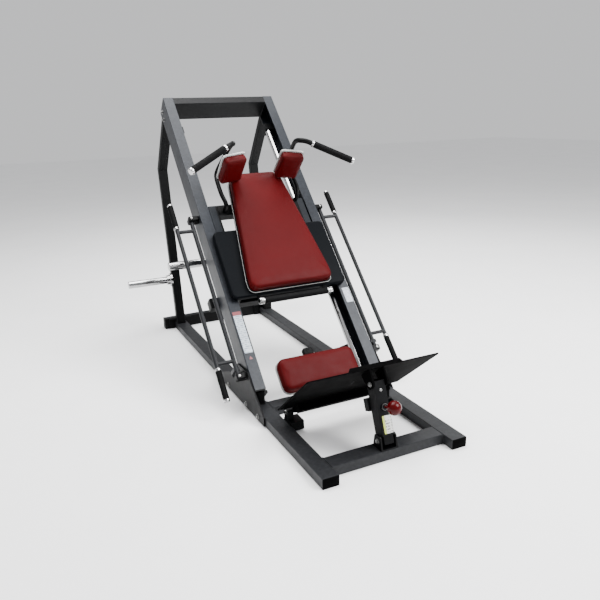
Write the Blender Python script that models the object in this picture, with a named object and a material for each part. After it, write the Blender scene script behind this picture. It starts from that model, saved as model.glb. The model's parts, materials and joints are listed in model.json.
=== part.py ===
"""Plate-loaded hack squat / leg press sled.

Metres, +Z up, +X to the right, the front (footplate end) faces -Y.
The origin is on the floor, under the middle of the machine's bounding box.

Inside the model every piece hangs from one of these empties:
  machine_datum     floor datum at the front ends of the base rails
  incline           foot of the sloping uprights; local +Y runs up the slope,
                    local +Z stands square to it, towards the user
  carriage          the sled that slides up and down the incline
  footplate_pivot   hinge line of the footplate, local -Y runs to its toe edge
  strut_pivot       hinge line of the telescopic strut, local +Z runs up the strut
  safety_pivot_*    axis of each safety handle, along the incline
"""
import bpy
import bmesh
from math import radians, sin, cos, pi, atan2, sqrt
from mathutils import Vector, Matrix

# ---------------------------------------------------------------- dimensions
DEPTH_TOTAL = 2.4325          # front face of the rails to the back of the rear posts
GAP = 0.0003                  # clearance between pieces that touch

RAIL_IN, RAIL_OUT = 0.290, 0.370      # base rail, inner and outer face
RAIL_H = 0.050
TUBE_WALL = 0.003

FRONT_BEAM_Y = (0.063, 0.150)
MIDDLE_BEAM_Y = (0.690, 0.772)
REAR_BEAM_Y = (2.310, 2.370)
REAR_BEAM_H = 0.076
REAR_BEAM_LEFT, REAR_BEAM_RIGHT = -0.440, 0.372
FLANGE_T = 0.010

INCLINE_Y, INCLINE_Z = 0.729, 0.1465
INCLINE = radians(46.7)

UP_IN, UP_OUT = 0.3075, 0.3695        # upright channel, inner and outer edge
UP_DEPTH = 0.140
UP_LEN = 1.988
UP_WALL = 0.005

ROD_X, ROD_H, ROD_R = 0.3010, -0.0950, 0.0210
ROD_S = (0.0120, 1.8000)

TOP_BEAM_S = (1.935, 1.988)

POST_DEPTH = 0.045
POST_BEND = (2.4090, 1.130)           # centre line of the rear post at its bend
POST_FOOT_Y = 2.2620
POST_LEAN = radians(37.2)             # upper run, from vertical

PEG_Z, PEG_R, PEG_TIP = 0.366, 0.0245, 0.672

PANEL_HALF = 0.345
PANEL_S = (0.505, 0.935)
PANEL_TOP, PANEL_T = 0.045, 0.005
PLATE_IN, PLATE_OUT = 0.2500, 0.2615  # carriage side plates
HOUSING_S = (0.560, 1.144)
CROSSBAR_S = (1.072, 1.144)
HORN_S, HORN_H, HORN_R, HORN_TIP = 0.946, -0.300, 0.0245, 0.546
STOP_S, STOP_H, STOP_HALF = (0.570, 0.630), (-0.220, -0.160), 0.410

BOARD_H = (0.0453, 0.0575)
PAD_H = (0.0580, 0.1100)
SHOULDER_AT = (0.1760, 1.2270, 0.2095)
SHOULDER_W, SHOULDER_H = 0.136, 0.193
SHOULDER_TURN = radians(9)

FOOT_AXIS = (0.530, 0.098)            # footplate hinge line (y, z)
FOOT_TILT = radians(-39.35)
FOOT_HALF = 0.340
FOOT_U = (-0.4650, -0.0300)
FOOT_V = (0.0080, 0.0140)

STRUT_AXIS = (0.100, 0.085)
STRUT_LEAN = radians(-19.9)
STRUT_OUT = (0.060, 0.065)            # outer tube, width and depth
STRUT_IN = (0.050, 0.055)
STRUT_TOP_W = 0.2540                  # top pivot, along the strut
PIN_W = 0.1470

SAFE_X, SAFE_H = 0.4130, -0.0500      # safety handle pivot axis
SAFE_ROD_X = 0.5080
SAFE_S = (0.1185, 1.0695)


# ------------------------------------------------------------------- helpers
for old in list(bpy.data.objects):
    bpy.data.objects.remove(old, do_unlink=True)

scene_collection = bpy.context.scene.collection


def empty(name, parent=None, loc=(0, 0, 0), rot_x=0.0):
    e = bpy.data.objects.new(name, None)
    scene_collection.objects.link(e)
    e.parent = parent
    e.location = loc
    e.rotation_euler = (rot_x, 0, 0)
    return e


FINISH = {
    "charcoal": ((0.085, 0.090, 0.100), 0.36, 0.55),
    "face": ((0.160, 0.175, 0.195), 0.34, 0.60),
    "black": ((0.012, 0.012, 0.014), 0.42, 0.20),
    "chrome": ((0.800, 0.800, 0.780), 0.12, 1.00),
    "silver": ((0.620, 0.620, 0.600), 0.30, 0.85),
    "vinyl": ((0.190, 0.012, 0.016), 0.48, 0.00),
    "rubber": ((0.016, 0.016, 0.017), 0.75, 0.00),
    "red_ball": ((0.420, 0.012, 0.018), 0.28, 0.00),
}


def finish(obj, key):
    colour, rough, metal = FINISH[key]
    mat = bpy.data.materials.new(obj.name + "_" + key)
    mat.use_nodes = True
    bsdf = mat.node_tree.nodes["Principled BSDF"]
    bsdf.inputs["Base Color"].default_value = (*colour, 1.0)
    bsdf.inputs["Roughness"].default_value = rough
    bsdf.inputs["Metallic"].default_value = metal
    obj.data.materials.clear()
    obj.data.materials.append(mat)


def piece(name, bm, look, parent, loc=(0, 0, 0), rot=(0, 0, 0), smooth=False):
    bmesh.ops.recalc_face_normals(bm, faces=bm.faces[:])
    me = bpy.data.meshes.new(name)
    bm.to_mesh(me)
    bm.free()
    ob = bpy.data.objects.new(name, me)
    scene_collection.objects.link(ob)
    ob.parent = parent
    ob.location = loc
    ob.rotation_euler = rot
    if smooth:
        me.shade_smooth()
        me.set_sharp_from_angle(angle=radians(35))
    finish(ob, look)
    return ob


def fuse(ob, parts, op="UNION", smooth=False, solver="EXACT"):
    """Boolean the temporary bmeshes in parts, given in ob's own frame, into ob."""
    for k, bm in enumerate(parts):
        bmesh.ops.recalc_face_normals(bm, faces=bm.faces[:])
        me = bpy.data.meshes.new("operand")
        bm.to_mesh(me)
        bm.free()
        other = bpy.data.objects.new("operand", me)
        scene_collection.objects.link(other)
        other.parent = ob.parent
        other.location = ob.location
        other.rotation_euler = ob.rotation_euler
        mod = ob.modifiers.new("fuse", "BOOLEAN")
        mod.operation = op
        mod.solver = solver
        mod.object = other
        bpy.context.view_layer.update()
        deps = bpy.context.evaluated_depsgraph_get()
        made = bpy.data.meshes.new_from_object(ob.evaluated_get(deps))
        ob.modifiers.clear()
        old = ob.data
        ob.data = made
        made.name = ob.name
        bpy.data.meshes.remove(old)
        bpy.data.objects.remove(other, do_unlink=True)
        bpy.data.meshes.remove(me)
    tidy = bmesh.new()
    tidy.from_mesh(ob.data)
    bmesh.ops.remove_doubles(tidy, verts=tidy.verts[:], dist=0.00002)
    bmesh.ops.dissolve_limit(tidy, angle_limit=radians(0.5), verts=tidy.verts[:], edges=tidy.edges[:])
    bmesh.ops.triangulate(tidy, faces=tidy.faces[:], ngon_method="EAR_CLIP")
    tidy.to_mesh(ob.data)
    tidy.free()
    if smooth:
        ob.data.shade_smooth()
        ob.data.set_sharp_from_angle(angle=radians(35))
    return ob


def box(x0, x1, y0, y1, z0, z1, bevel=0.0, steps=1):
    bm = bmesh.new()
    bmesh.ops.create_cube(bm, size=1.0)
    for v in bm.verts:
        v.co = Vector((x0 + (v.co.x + 0.5) * (x1 - x0),
                       y0 + (v.co.y + 0.5) * (y1 - y0),
                       z0 + (v.co.z + 0.5) * (z1 - z0)))
    if bevel:
        bmesh.ops.bevel(bm, geom=bm.edges[:], offset=bevel, segments=steps,
                        affect="EDGES", profile=0.5)
    return bm


def mirrored(side, a, b):
    """The x range from a to b on the right, mirrored when side is -1."""
    return (side * a, side * b) if side > 0 else (side * b, side * a)


def rounded_rect(w, h, r, steps):
    """Counter-clockwise outline of a w by h rectangle with corner radius r."""
    pts = []
    for cx, cy, a0 in ((w / 2 - r, h / 2 - r, 0), (-w / 2 + r, h / 2 - r, pi / 2),
                       (-w / 2 + r, -h / 2 + r, pi), (w / 2 - r, -h / 2 + r, 1.5 * pi)):
        for k in range(steps + 1):
            a = a0 + k * pi / 2 / steps
            pts.append((cx + r * cos(a), cy + r * sin(a)))
    return pts


def rounded_outline(corners, steps=3):
    """Closed outline through corners (x, y, radius), each corner an arc."""
    out = []
    n = len(corners)
    for i, (x, y, r) in enumerate(corners):
        p = Vector((x, y))
        a = (Vector(corners[i - 1][:2]) - p).normalized()
        b = (Vector(corners[(i + 1) % n][:2]) - p).normalized()
        if r <= 0:
            out.append((p.x, p.y))
            continue
        half = a.angle(b) / 2
        reach = r / max(1e-6, (sin(half) / cos(half)))
        c = p + (a + b).normalized() * (r / sin(half))
        s = p + a * reach - c
        e = p + b * reach - c
        total = s.angle_signed(e)
        for k in range(steps + 1):
            v = s.copy()
            v.rotate(Matrix.Rotation(-total * k / steps, 2))
            out.append((c.x + v.x, c.y + v.y))
    return out


def prism(points, lo, hi, axis="X"):
    """Extrude a closed outline: points are (y, z) along X, (x, z) along Y, (x, y) along Z."""
    bm = bmesh.new()

    def at(p, t):
        if axis == "X":
            return (t, p[0], p[1])
        if axis == "Y":
            return (p[0], t, p[1])
        return (p[0], p[1], t)

    low = [bm.verts.new(at(p, lo)) for p in points]
    top = [bm.verts.new(at(p, hi)) for p in points]
    bm.faces.new(low[::-1])
    bm.faces.new(top)
    n = len(points)
    for i in range(n):
        bm.faces.new((low[i], low[(i + 1) % n], top[(i + 1) % n], top[i]))
    bmesh.ops.triangulate(bm, faces=bm.faces[:], ngon_method="EAR_CLIP")
    return bm


def channel(side, a, b, d, w, r, length):
    """Channel section along +Y, its back at x = b and its open side at x = a,
    with rounded back corners. side mirrors it in x."""
    bm = bmesh.new()
    outer = [(a, 0.0), (b - r, 0.0), (b - 0.3 * r, -0.3 * r), (b, -r),
             (b, -d + r), (b - 0.3 * r, -d + 0.3 * r), (b - r, -d), (a, -d)]
    inner = [(a, -w), (b - w, -w), (b - w, -d + w), (a, -d + w)]
    match = [0, 1, 1, 1, 2, 2, 2, 3]
    ends = []
    for y in (0.0, length):
        o = [bm.verts.new((side * x, y, z)) for x, z in outer]
        i = [bm.verts.new((side * x, y, z)) for x, z in inner]
        ends.append((o, i))
        for k in range(7):
            m, n = match[k], match[k + 1]
            bm.faces.new((o[k], o[k + 1], i[m]) if m == n else (o[k], o[k + 1], i[n], i[m]))
    (o0, i0), (o1, i1) = ends
    loop0, loop1 = o0 + i0[::-1], o1 + i1[::-1]
    for k in range(len(loop0)):
        n = (k + 1) % len(loop0)
        bm.faces.new((loop0[k], loop0[n], loop1[n], loop1[k]))
    return bm


def tube_loops(outer, inner):
    """Skin an open-ended tube from lists of matching outer and inner rings."""
    bm = bmesh.new()
    o = [[bm.verts.new(p) for p in ring] for ring in outer]
    i = [[bm.verts.new(p) for p in ring] for ring in inner]
    n = len(o[0])
    for rings, flip in ((o, False), (i, True)):
        for a, b in zip(rings, rings[1:]):
            for k in range(n):
                q = (a[k], a[(k + 1) % n], b[(k + 1) % n], b[k])
                bm.faces.new(q[::-1] if flip else q)
    for a, b, flip in ((o[0], i[0], True), (o[-1], i[-1], False)):
        for k in range(n):
            q = (a[k], a[(k + 1) % n], b[(k + 1) % n], b[k])
            bm.faces.new(q[::-1] if flip else q)
    return bm


def rect_tube(axis, x, y, z, wall=TUBE_WALL, radius=0.0045, steps=2):
    """Open-ended rectangular tube filling the ranges x, y, z and running along axis."""
    spans = {"X": (y, z, x), "Y": (x, z, y), "Z": (x, y, z)}[axis]
    (a0, a1), (b0, b1), (t0, t1) = spans
    w, h = a1 - a0, b1 - b0
    ca, cb = (a0 + a1) / 2, (b0 + b1) / 2
    out2 = rounded_rect(w, h, radius, steps)
    in2 = rounded_rect(w - 2 * wall, h - 2 * wall, max(radius - wall, 0.0012), steps)

    def at(p, t):
        if axis == "X":
            return (t, ca + p[0], cb + p[1])
        if axis == "Y":
            return (ca + p[0], t, cb + p[1])
        return (ca + p[0], cb + p[1], t)

    return tube_loops([[at(p, t0) for p in out2], [at(p, t1) for p in out2]],
                      [[at(p, t0) for p in in2], [at(p, t1) for p in in2]])


def bent_tube(path, cuts, x0, x1, depth, wall=TUBE_WALL, radius=0.0045, steps=2):
    """Rectangular tube along a path of (y, z) points. cuts holds the direction of
    the cut, or mitre, line in the (y, z) plane at each point."""
    out2 = rounded_rect(x1 - x0, depth, radius, steps)
    in2 = rounded_rect(x1 - x0 - 2 * wall, depth - 2 * wall, max(radius - wall, 0.0012), steps)
    cx = (x0 + x1) / 2
    outer, inner = [], []
    for k, p in enumerate(path):
        t = Vector(path[min(k + 1, len(path) - 1)]) - Vector(path[max(k - 1, 0)])
        if k == 0:
            t = Vector(path[1]) - Vector(path[0])
        elif k == len(path) - 1:
            t = Vector(path[-1]) - Vector(path[-2])
        else:
            t = Vector(path[k]) - Vector(path[k - 1])
        t.normalize()
        n = Vector((t.y, -t.x))
        c = Vector(cuts[k]).normalized()
        c = c / c.dot(n)
        outer.append([(cx + a, p[0] + c.x * b, p[1] + c.y * b) for a, b in out2])
        inner.append([(cx + a, p[0] + c.x * b, p[1] + c.y * b) for a, b in in2])
    return tube_loops(outer, inner)


def turned(profile, seg, p0, direction):
    """Turn a profile of (distance along the axis, radius) about an axis; the two
    end points close on the axis."""
    bm = bmesh.new()
    d = Vector(direction).normalized()
    ref = Vector((1, 0, 0)) if abs(d.x) < 0.9 else Vector((0, 1, 0))
    u = d.cross(ref).normalized()
    w = d.cross(u)
    origin = Vector(p0)
    rings = []
    for t, r in profile:
        rings.append([bm.verts.new(origin + d * t + (u * cos(2 * pi * k / seg) + w * sin(2 * pi * k / seg)) * r)
                      for k in range(seg)])
    for a, b in zip(rings, rings[1:]):
        for k in range(seg):
            bm.faces.new((a[k], a[(k + 1) % seg], b[(k + 1) % seg], b[k]))
    bm.faces.new(rings[0][::-1])
    bm.faces.new(rings[-1])
    return bm


def cylinder(p0, p1, r, seg=20):
    d = Vector(p1) - Vector(p0)
    return turned([(0.0, r), (d.length, r)], seg, p0, d)


def sleeve(p0, p1, r_out, r_in, seg=16):
    """Tube between p0 and p1, open at both ends."""
    a, b = Vector(p0), Vector(p1)
    d = (b - a).normalized()
    ref = Vector((1, 0, 0)) if abs(d.x) < 0.9 else Vector((0, 1, 0))
    u = d.cross(ref).normalized()
    w = d.cross(u)

    def ring(c, r):
        return [c + (u * cos(2 * pi * k / seg) + w * sin(2 * pi * k / seg)) * r for k in range(seg)]

    return tube_loops([ring(a, r_out), ring(b, r_out)], [ring(a, r_in), ring(b, r_in)])


def smooth_path(points, per_span):
    """Catmull-Rom curve through the points, per_span steps on each span."""
    pts = [Vector(p) for p in points]
    pts = [pts[0] * 2 - pts[1]] + pts + [pts[-1] * 2 - pts[-2]]
    out = []
    for i in range(1, len(pts) - 2):
        a, b, c, d = pts[i - 1:i + 3]
        for k in range(per_span):
            t = k / per_span
            out.append(0.5 * ((2 * b) + (c - a) * t + (2 * a - 5 * b + 4 * c - d) * t * t
                              + (3 * b - a - 3 * c + d) * t ** 3))
    out.append(pts[-2])
    return out


def swept(path, radii, seg=12):
    """Closed round bar along a path, with its own radius at each point."""
    bm = bmesh.new()
    pts = [Vector(p) for p in path]
    tangents = []
    for i in range(len(pts)):
        a = pts[max(i - 1, 0)]
        b = pts[min(i + 1, len(pts) - 1)]
        tangents.append((b - a).normalized())
    ref = Vector((0, 0, 1)) if abs(tangents[0].z) < 0.9 else Vector((1, 0, 0))
    u = tangents[0].cross(ref).normalized()
    rings = []
    for i, p in enumerate(pts):
        u = (u - tangents[i] * u.dot(tangents[i])).normalized()
        w = tangents[i].cross(u)
        rings.append([bm.verts.new(p + (u * cos(2 * pi * k / seg) + w * sin(2 * pi * k / seg)) * radii[i])
                      for k in range(seg)])
    for a, b in zip(rings, rings[1:]):
        for k in range(seg):
            bm.faces.new((a[k], a[(k + 1) % seg], b[(k + 1) % seg], b[k]))
    bm.faces.new(rings[0][::-1])
    bm.faces.new(rings[-1])
    return bm


# ------------------------------------------------------------------- empties
datum = empty("machine_datum", None, (0, -DEPTH_TOTAL / 2, 0))
incline = empty("incline", datum, (0, INCLINE_Y, INCLINE_Z), INCLINE)
carriage = empty("carriage", incline, (0, 0, 0))
foot = empty("footplate_pivot", datum, (0, FOOT_AXIS[0], FOOT_AXIS[1]), FOOT_TILT)
strut = empty("strut_pivot", datum, (0, STRUT_AXIS[0], STRUT_AXIS[1]), STRUT_LEAN)
strut_slide = empty("strut_slide", strut, (0, 0, 0))
safety = {-1: empty("safety_pivot_left", incline, (-SAFE_X, 0, SAFE_H)),
          1: empty("safety_pivot_right", incline, (SAFE_X, 0, SAFE_H))}
SIDES = ((-1, "left"), (1, "right"))

bpy.context.view_layer.update()


def slope(s, h):
    """(y, z) in the datum frame of a point s up the incline and h above it."""
    return (INCLINE_Y + s * cos(INCLINE) - h * sin(INCLINE),
            INCLINE_Z + s * sin(INCLINE) + h * cos(INCLINE))


# ---------------------------------------------------------------- base frame
for side, tag in SIDES:
    x0, x1 = mirrored(side, RAIL_IN, RAIL_OUT)
    piece("base_rail_" + tag,
          rect_tube("Y", (x0, x1), (0.0, REAR_BEAM_Y[0] - FLANGE_T - 2 * GAP), (0.0, RAIL_H)),
          "charcoal", datum)

piece("front_crossbeam",
      rect_tube("X", (-RAIL_IN + GAP, RAIL_IN - GAP), FRONT_BEAM_Y, (0.0, RAIL_H)),
      "charcoal", datum)
piece("middle_crossbeam",
      rect_tube("X", (-RAIL_IN + GAP, RAIL_IN - GAP), MIDDLE_BEAM_Y, (0.0, RAIL_H)),
      "charcoal", datum)

rear = piece("rear_crossbeam",
             rect_tube("X", (REAR_BEAM_LEFT, REAR_BEAM_RIGHT), REAR_BEAM_Y, (0.0, REAR_BEAM_H)),
             "black", datum)
flange_back = REAR_BEAM_Y[0] + 0.0015
fuse(rear, [box(*mirrored(side, 0.247, 0.4125 if side < 0 else 0.3900), REAR_BEAM_Y[0] - FLANGE_T, flange_back,
                0.004, 0.072) for side in (-1, 1)])

# ------------------------------------------------------------------ uprights
for side, tag in SIDES:
    piece("upright_" + tag, channel(side, UP_IN, UP_OUT, UP_DEPTH, UP_WALL, 0.004, UP_LEN), "face", incline)

    # closed foot: end plate, socket for the guide rod and a wedge down to the rail
    x0, x1 = mirrored(side, 0.3085, 0.3685)
    end = piece("upright_foot_" + tag, box(x0, x1, -0.0065, -GAP, -0.1310, -0.0010), "black", incline)
    sx0, sx1 = mirrored(side, 0.2790, 0.3620)
    fuse(end, [box(sx0, sx1, -0.0040, ROD_S[0] - GAP, -0.1330, -0.0700)])
    wedge = [(0.7460, RAIL_H + GAP), (0.8180, RAIL_H + GAP), slope(-0.004, -0.125), slope(-0.004, -0.020),
             (0.7460, 0.1180)]
    inv = Matrix.Rotation(-INCLINE, 3, "X")
    bm = prism(wedge, *mirrored(side, 0.310, 0.350), "X")
    for v in bm.verts:
        v.co = inv @ (v.co - Vector((0, INCLINE_Y, INCLINE_Z)))
    fuse(end, [bm], solver="MANIFOLD")

piece("top_crossbeam",
      rect_tube("X", (-UP_IN + GAP, UP_IN - GAP), TOP_BEAM_S, (-UP_DEPTH, 0.0)),
      "charcoal", incline)

# ----------------------------------------------------------------- guide rods
for side, tag in SIDES:
    piece("guide_rod_" + tag,
          cylinder((0, ROD_S[0], 0), (0, ROD_S[1], 0), ROD_R, 24),
          "chrome", incline, (side * ROD_X, 0, ROD_H), smooth=True)
    x0, x1 = mirrored(side, 0.2760, 0.3640)
    block = piece("rod_top_block_" + tag,
                  box(x0, x1, ROD_S[1] - 0.038, ROD_S[1] + 0.012, -0.1345, -0.0690, 0.002), "black", incline)
    fuse(block, [cylinder((side * ROD_X, ROD_S[1] - 0.060, ROD_H), (side * ROD_X, ROD_S[1] + GAP, ROD_H),
                          ROD_R + GAP, 24)], "DIFFERENCE")

# ----------------------------------------------------------------- rear posts
lean = Vector((-sin(POST_LEAN), cos(POST_LEAN)))
bend = Vector(POST_BEND)


def height_over_incline(p):
    return -(p.x - INCLINE_Y) * sin(INCLINE) + (p.y - INCLINE_Z) * cos(INCLINE)


rise = (height_over_incline(Vector(bend)) + UP_DEPTH + GAP) / \
       -(lean.y * cos(INCLINE) - lean.x * sin(INCLINE))
top = bend + lean * rise
foot_pt = Vector((POST_FOOT_Y, RAIL_H + GAP))
lower = (bend - foot_pt).normalized()
n_low, n_up = Vector((lower.y, -lower.x)), Vector((lean.y, -lean.x))
mitre = (n_low + n_up).normalized()
for side, tag in SIDES:
    x0, x1 = mirrored(side, 0.3080, 0.3680)
    piece("rear_post_" + tag,
          bent_tube([tuple(foot_pt), tuple(bend), tuple(top)],
                    [(1, 0), tuple(mitre), (cos(INCLINE), sin(INCLINE))],
                    x0, x1, POST_DEPTH),
          "black", datum)

# ------------------------------------------------------------- storage pegs
    t = (PEG_Z - foot_pt.y) / (bend.y - foot_pt.y)
    peg_y = foot_pt.x + (bend.x - foot_pt.x) * t
    start = 0.3680 + GAP
    piece("storage_peg_" + tag,
          turned([(0.0, 0.046), (0.012, 0.046), (0.013, 0.034), (0.034, 0.034), (0.035, PEG_R),
                  (PEG_TIP - start - 0.003, PEG_R), (PEG_TIP - start, PEG_R - 0.003)],
                 24, (side * start, 0, 0), (side, 0, 0)),
          "chrome", datum, (0, peg_y, PEG_Z), smooth=True)

# ------------------------------------------------------------ gusset plates
GUSSET = [(0.602, 0.006), (1.262, 0.006), (1.262, 0.048), (1.205, 0.075), (0.985, 0.150),
          (0.950, 0.215), (0.800, 0.220), (0.745, 0.165), (0.612, 0.060), (0.602, 0.050)]
for side, tag in SIDES:
    plate = piece("gusset_plate_" + tag,
                  prism(GUSSET, *mirrored(side, RAIL_OUT + GAP, 0.3783), "X"), "charcoal", datum)
    x0, x1 = mirrored(side, 0.3740, 0.4300)
    bm = box(x0, x1, 0.0860, SAFE_S[0] - 0.0008, SAFE_H - 0.024, SAFE_H + 0.024, 0.004)
    turn = Matrix.Rotation(INCLINE, 3, "X")
    for v in bm.verts:
        v.co = turn @ v.co + Vector((0, INCLINE_Y, INCLINE_Z))
    fuse(plate, [bm])
    x0, x1 = mirrored(side, UP_OUT + GAP, 0.4300)
    piece("safety_top_bracket_" + tag,
          box(x0, x1, SAFE_S[1] + 0.0008, 1.1000, SAFE_H - 0.026, SAFE_H + 0.026, 0.004),
          "black", incline)

# ------------------------------------------------------------------ seat pad
SEAT = [(-0.225, -0.060, 0.040), (0.225, -0.060, 0.040), (0.225, 0.128, 0.040), (-0.225, 0.128, 0.040)]
piece("seat_pad", prism(rounded_outline(SEAT), -0.0100, 0.0500, "Z"), "vinyl", incline)
base = piece("seat_base",
             prism(rounded_outline([(x * 0.985, y, r) for x, y, r in SEAT]), -0.0225, -0.0103, "Z"),
             "silver", incline)
under = INCLINE_Z + (-0.0180) / cos(INCLINE) - INCLINE_Y * sin(INCLINE) / cos(INCLINE)
tan_i = sin(INCLINE) / cos(INCLINE)
bm = prism([(0.697, RAIL_H + GAP), (0.765, RAIL_H + GAP), (0.765, under + 0.765 * tan_i),
            (0.697, under + 0.697 * tan_i)], -0.040, 0.040, "X")
inv = Matrix.Rotation(-INCLINE, 3, "X")
for v in bm.verts:
    v.co = inv @ (v.co - Vector((0, INCLINE_Y, INCLINE_Z)))
fuse(base, [bm])

# ------------------------------------------------------------------ carriage
OUT = [(-PANEL_HALF, PANEL_S[0], 0.030), (PANEL_HALF, PANEL_S[0], 0.030),
       (PANEL_HALF, PANEL_S[1], 0.030), (-PANEL_HALF, PANEL_S[1], 0.030)]
piece("carriage_panel", prism(rounded_outline(OUT, 4), PANEL_TOP - PANEL_T, PANEL_TOP, "Z"),
      "black", carriage)

for side, tag in SIDES:
    x0, x1 = mirrored(side, 0.3050, PANEL_HALF - 0.0005)
    piece("carriage_channel_" + tag,
          rect_tube("Y", (x0, x1), (PANEL_S[0] + 0.024, PANEL_S[1] - 0.024),
                    (0.0050, PANEL_TOP - PANEL_T - GAP)), "black", carriage)

    plate = [(0.5600, 0.0392), (0.9340, 0.0392), (0.9500, -0.0080), (1.1440, -0.0080), (1.1440, -0.1350),
             (1.0200, -0.3350), (0.8800, -0.3350), (0.7000, -0.1594), (0.5600, -0.1594)]
    px0, px1 = mirrored(side, PLATE_IN, PLATE_OUT)
    piece("carriage_side_plate_" + tag, prism(plate, px0, px1, "X"), "black", carriage)

    section = [(0.2618, -0.1310), (0.3420, -0.1310), (0.3420, -0.0560), (0.3020, -0.0560),
               (0.3020, -0.0080), (0.2618, -0.0080)]
    house = piece("bearing_housing_" + tag,
                  prism([(side * x, h) for x, h in section], HOUSING_S[0], HOUSING_S[1], "Y"),
                  "charcoal", carriage)
    fuse(house, [cylinder((side * ROD_X, HOUSING_S[0] - 0.02, ROD_H), (side * ROD_X, HOUSING_S[1] + 0.02, ROD_H),
                          ROD_R + 0.0006, 24)], "DIFFERENCE")

    start = PLATE_OUT + GAP
    piece("weight_horn_" + tag,
          turned([(0.0, 0.036), (0.010, 0.036), (0.011, HORN_R), (HORN_TIP - start - 0.003, HORN_R),
                  (HORN_TIP - start, HORN_R - 0.003)], 24, (side * start, 0, 0), (side, 0, 0)),
          "chrome", carriage, (0, HORN_S, HORN_H), smooth=True)

bar = piece("upper_crossbar",
            rect_tube("X", (-PLATE_IN + GAP, PLATE_IN - GAP), CROSSBAR_S, (-0.0600, -0.0050)),
            "black", carriage)
fuse(bar, [box(x - 0.02, x + 0.02, CROSSBAR_S[0] + 0.010, CROSSBAR_S[1] - 0.010, -0.0065, BOARD_H[0] - GAP)
           for x in (-0.11, 0.11)])

stop = piece("stop_bar",
             rect_tube("X", (-STOP_HALF + 0.012, STOP_HALF - 0.012), STOP_S, STOP_H, 0.0040),
             "black", carriage)
# rubber bump stops close both ends of the stop bar
fuse(stop, [box(*mirrored(side, STOP_HALF - 0.035, STOP_HALF), STOP_S[0] - 0.0015, STOP_S[1] + 0.0015,
                STOP_H[0] - 0.0015, STOP_H[1] + 0.0010, 0.006, 2) for side in (-1, 1)])
# drain hole in the back of the bar
fuse(stop, [cylinder((0, 0.600, STOP_H[0] - 0.01), (0, 0.600, STOP_H[0] + 0.01), 0.0050, 8)], "DIFFERENCE")

# pad boards and pads
BACK = [(-0.2500, 0.5150, 0.036), (0.2500, 0.5150, 0.036), (0.2500, 0.5900, 0.060),
        (0.1650, 1.2460, 0.050), (0.1230, 1.2900, 0.035), (-0.1230, 1.2900, 0.035),
        (-0.1650, 1.2460, 0.050), (-0.2500, 0.5900, 0.060)]
cy = 0.90
piece("back_board",
      prism(rounded_outline([(x * 1.011, cy + (y - cy) * 1.004, r) for x, y, r in BACK], 2),
            BOARD_H[0], BOARD_H[1], "Z"), "silver", carriage)
piece("back_pad", prism(rounded_outline(BACK, 3), PAD_H[0], PAD_H[1], "Z"), "vinyl", carriage)

for side, tag in SIDES:
    # the shoulder pads face down the incline, with their outer edges turned down it
    w2, h2 = SHOULDER_W / 2, SHOULDER_H / 2
    sh = [(side * x, h, r) for x, h, r in ((-w2, -h2, 0.016), (w2, -h2, 0.022), (w2, h2, 0.022), (-w2, h2, 0.016))]
    if side < 0:
        sh = sh[::-1]
    spot = (side * SHOULDER_AT[0], SHOULDER_AT[1], SHOULDER_AT[2])
    turn = (0, 0, -side * SHOULDER_TURN)
    piece("shoulder_pad_" + tag, prism(rounded_outline(sh), -0.0240, 0.0220, "Y"), "vinyl", carriage, spot, turn)
    big = [(x * 1.062, h if h < 0 else h + 0.006, r) for x, h, r in sh]
    piece("shoulder_board_" + tag, prism(rounded_outline(big, 2), 0.0223, 0.0313, "Y"), "silver", carriage,
          spot, turn)

    # bent handle: rises from the upper crossbar, behind the shoulder board, then out to the grip
    route = [(0.2150, 1.1000, 0.0084), (0.2170, 1.0930, 0.0480), (0.2260, 1.1010, 0.0780),
             (0.2390, 1.1450, 0.0920), (0.2400, 1.2100, 0.0930), (0.2360, 1.2750, 0.0930),
             (0.2260, 1.3000, 0.1200), (0.2120, 1.3030, 0.2000), (0.2000, 1.3000, 0.2800),
             (0.1940, 1.2860, 0.3520), (0.2040, 1.2560, 0.3915), (0.2280, 1.2370, 0.4040),
             (0.2560, 1.2210, 0.4035)]
    line = [(side * x, s, h) for x, s, h in route]
    path = smooth_path(line, 3)
    path[0] = Vector((side * 0.2150, 1.1000, -0.0040))
    path[1] = Vector((side * 0.2150, 1.1000, 0.0060))
    # the bar is a little stouter where it bends out to the grip
    radii = [0.0125 + 0.0017 * min(1.0, max(0.0, (p[2] - 0.300) / 0.060)) for p in path]
    a = Vector((side * 0.2560, 1.2210, 0.4035))
    b = Vector((side * 0.4840, 1.0880, 0.3870))
    d = (b - a).normalized()
    length = (b - a).length
    for t, r in ((0.0006, 0.0185), (0.0120, 0.0185), (0.0126, 0.0125), (length - 0.0156, 0.0125),
                 (length - 0.0150, 0.0195), (length - 0.0030, 0.0195), (length, 0.0160)):
        path.append(a + d * t)
        radii.append(r)
    piece("handle_tube_" + tag, swept(path, radii, 12), "black", carriage, smooth=True)
    piece("handle_grip_" + tag,
          sleeve(a + d * 0.0130, a + d * (length - 0.0160), 0.0192, 0.0125 + GAP, 16),
          "rubber", carriage, smooth=True)

# grab bar along the lower edge of the carriage, on two small arms
gb = piece("grip_bar",
           turned([(0.0, 0.0150), (0.002, 0.0180), (0.018, 0.0180), (0.0185, 0.0165), (0.0300, 0.0165),
                   (0.0305, 0.0185), (0.4095, 0.0185), (0.4100, 0.0165), (0.4215, 0.0165), (0.4220, 0.0180),
                   (0.438, 0.0180), (0.440, 0.0150)],
                  20, (-0.220, 0.0, 0.0), (1, 0, 0)),
           "rubber", carriage, (0, 0.4540, 0.0690), smooth=True)
fuse(gb, [prism([(-0.010, -0.010), (0.004, -0.012), (PANEL_S[0] - 0.4540 - GAP, -0.0300),
                 (PANEL_S[0] - 0.4540 - GAP, -0.0600), (0.030, -0.0600), (-0.004, -0.0250)],
                *mirrored(side, 0.1920, 0.2010), "X") for side in (-1, 1)], smooth=True)

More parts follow.
